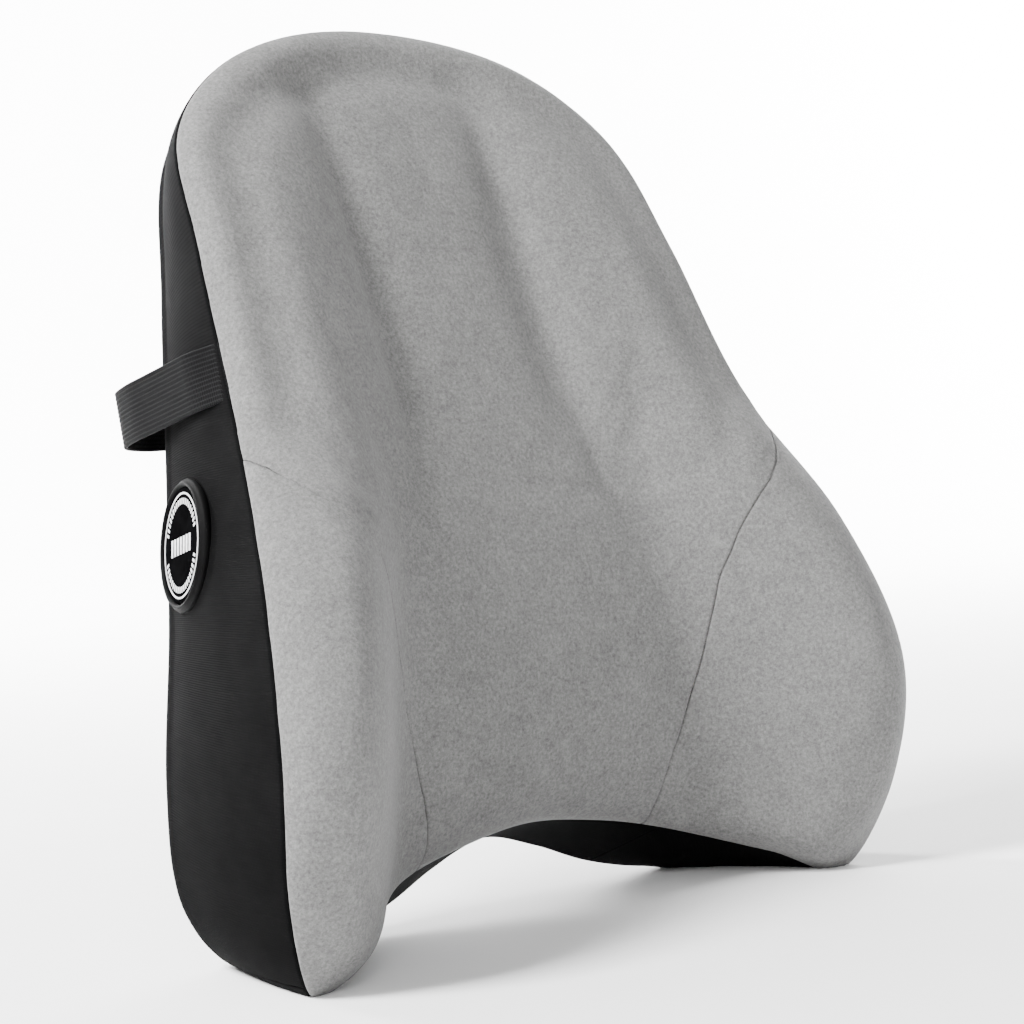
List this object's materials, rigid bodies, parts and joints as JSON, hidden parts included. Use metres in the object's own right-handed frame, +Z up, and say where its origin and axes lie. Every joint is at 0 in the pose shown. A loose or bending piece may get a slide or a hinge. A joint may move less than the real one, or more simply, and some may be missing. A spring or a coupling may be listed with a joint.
{
  "type": "lumbar support cushion",
  "caption": "Contoured foam lumbar support cushion with domed top, two hip lobes, sewn fabric cover with back zip, and an elastic backrest strap with side-release buckle.",
  "frame": {"origin": "middle of the box's base, on the floor under the cushion", "axes": "+X to the right for a viewer who faces the cushion's front; -Y is the front, which the sitter's back rests on; +Z up; the flat back leans 10 degrees from upright, its top towards +Y"},
  "size_m": [0.3656, 0.2225, 0.4152],
  "materials": {
    "foam": "open-cell memory foam",
    "grey_suede": "short-pile suede",
    "black_knit": "fine knit",
    "zip_tape": "woven tape",
    "elastic_webbing": "ribbed elastic",
    "gloss_black": "polished",
    "silver_print": "printed ring",
    "black_plastic": "satin moulded"
  },
  "bodies": {
    "cushion": {"foam_core": "foam", "front_centre_panel": "grey_suede", "wing_panel_left": "grey_suede", "wing_panel_right": "grey_suede", "side_band_left": "black_knit", "side_band_right": "black_knit", "top_band": "black_knit", "arch_band": "black_knit", "base_band_left": "black_knit", "base_band_right": "black_knit", "back_panel": "black_knit", "zip_tape_upper": "zip_tape", "zip_tape_lower": "zip_tape", "zip_coil_upper": "black_plastic", "zip_coil_lower": "black_plastic", "zip_end_stops": "black_plastic", "strap_left": "elastic_webbing", "strap_right": "elastic_webbing", "buckle_socket": "black_plastic", "badge_disc": "gloss_black", "badge_rim": "gloss_black", "badge_ring": "silver_print"},
    "zip_slider": {"zip_slider": "black_plastic"},
    "zip_pull": {"zip_pull": "black_plastic"},
    "strap_adjuster": {"strap_adjuster": "black_plastic"},
    "buckle_plug": {"buckle_plug": "black_plastic"},
    "prong_upper": {"buckle_prong_upper": "black_plastic"},
    "prong_lower": {"buckle_prong_lower": "black_plastic"}
  },
  "joints": [
    {"name": "zip_slide", "type": "slide", "parent": "cushion", "child": "zip_slider", "axis": [1, 0, 0], "range_m": [0, 0.206]},
    {"name": "pull_swing", "type": "hinge", "parent": "zip_slider", "child": "zip_pull", "pos_m": [-0.103, 0.03527, 0.0937], "axis": [0, 0.1736, 0.9848], "range_deg": [0, 170]},
    {"name": "adjuster_slide", "type": "slide", "parent": "cushion", "child": "strap_adjuster", "axis": [1, 0, 0], "range_m": [0, 0.02], "deforming": ["strap_left"]},
    {"name": "buckle_draw", "type": "slide", "parent": "cushion", "child": "buckle_plug", "axis": [1, 0, 0], "range_m": [0, 0.026], "deforming": ["strap_right"]},
    {"name": "prong_upper_squeeze", "type": "hinge", "parent": "buckle_plug", "child": "prong_upper", "pos_m": [-0.0046, 0.10545, 0.24582], "axis": [0, -0.9848, 0.1736], "range_deg": [0, 12], "stiffness_Nm_per_rad": 0.05},
    {"name": "prong_lower_squeeze", "type": "hinge", "parent": "buckle_plug", "child": "prong_lower", "pos_m": [-0.0046, 0.10163, 0.22416], "axis": [0, 0.9848, -0.1736], "range_deg": [0, 12], "stiffness_Nm_per_rad": 0.05}
  ]
}
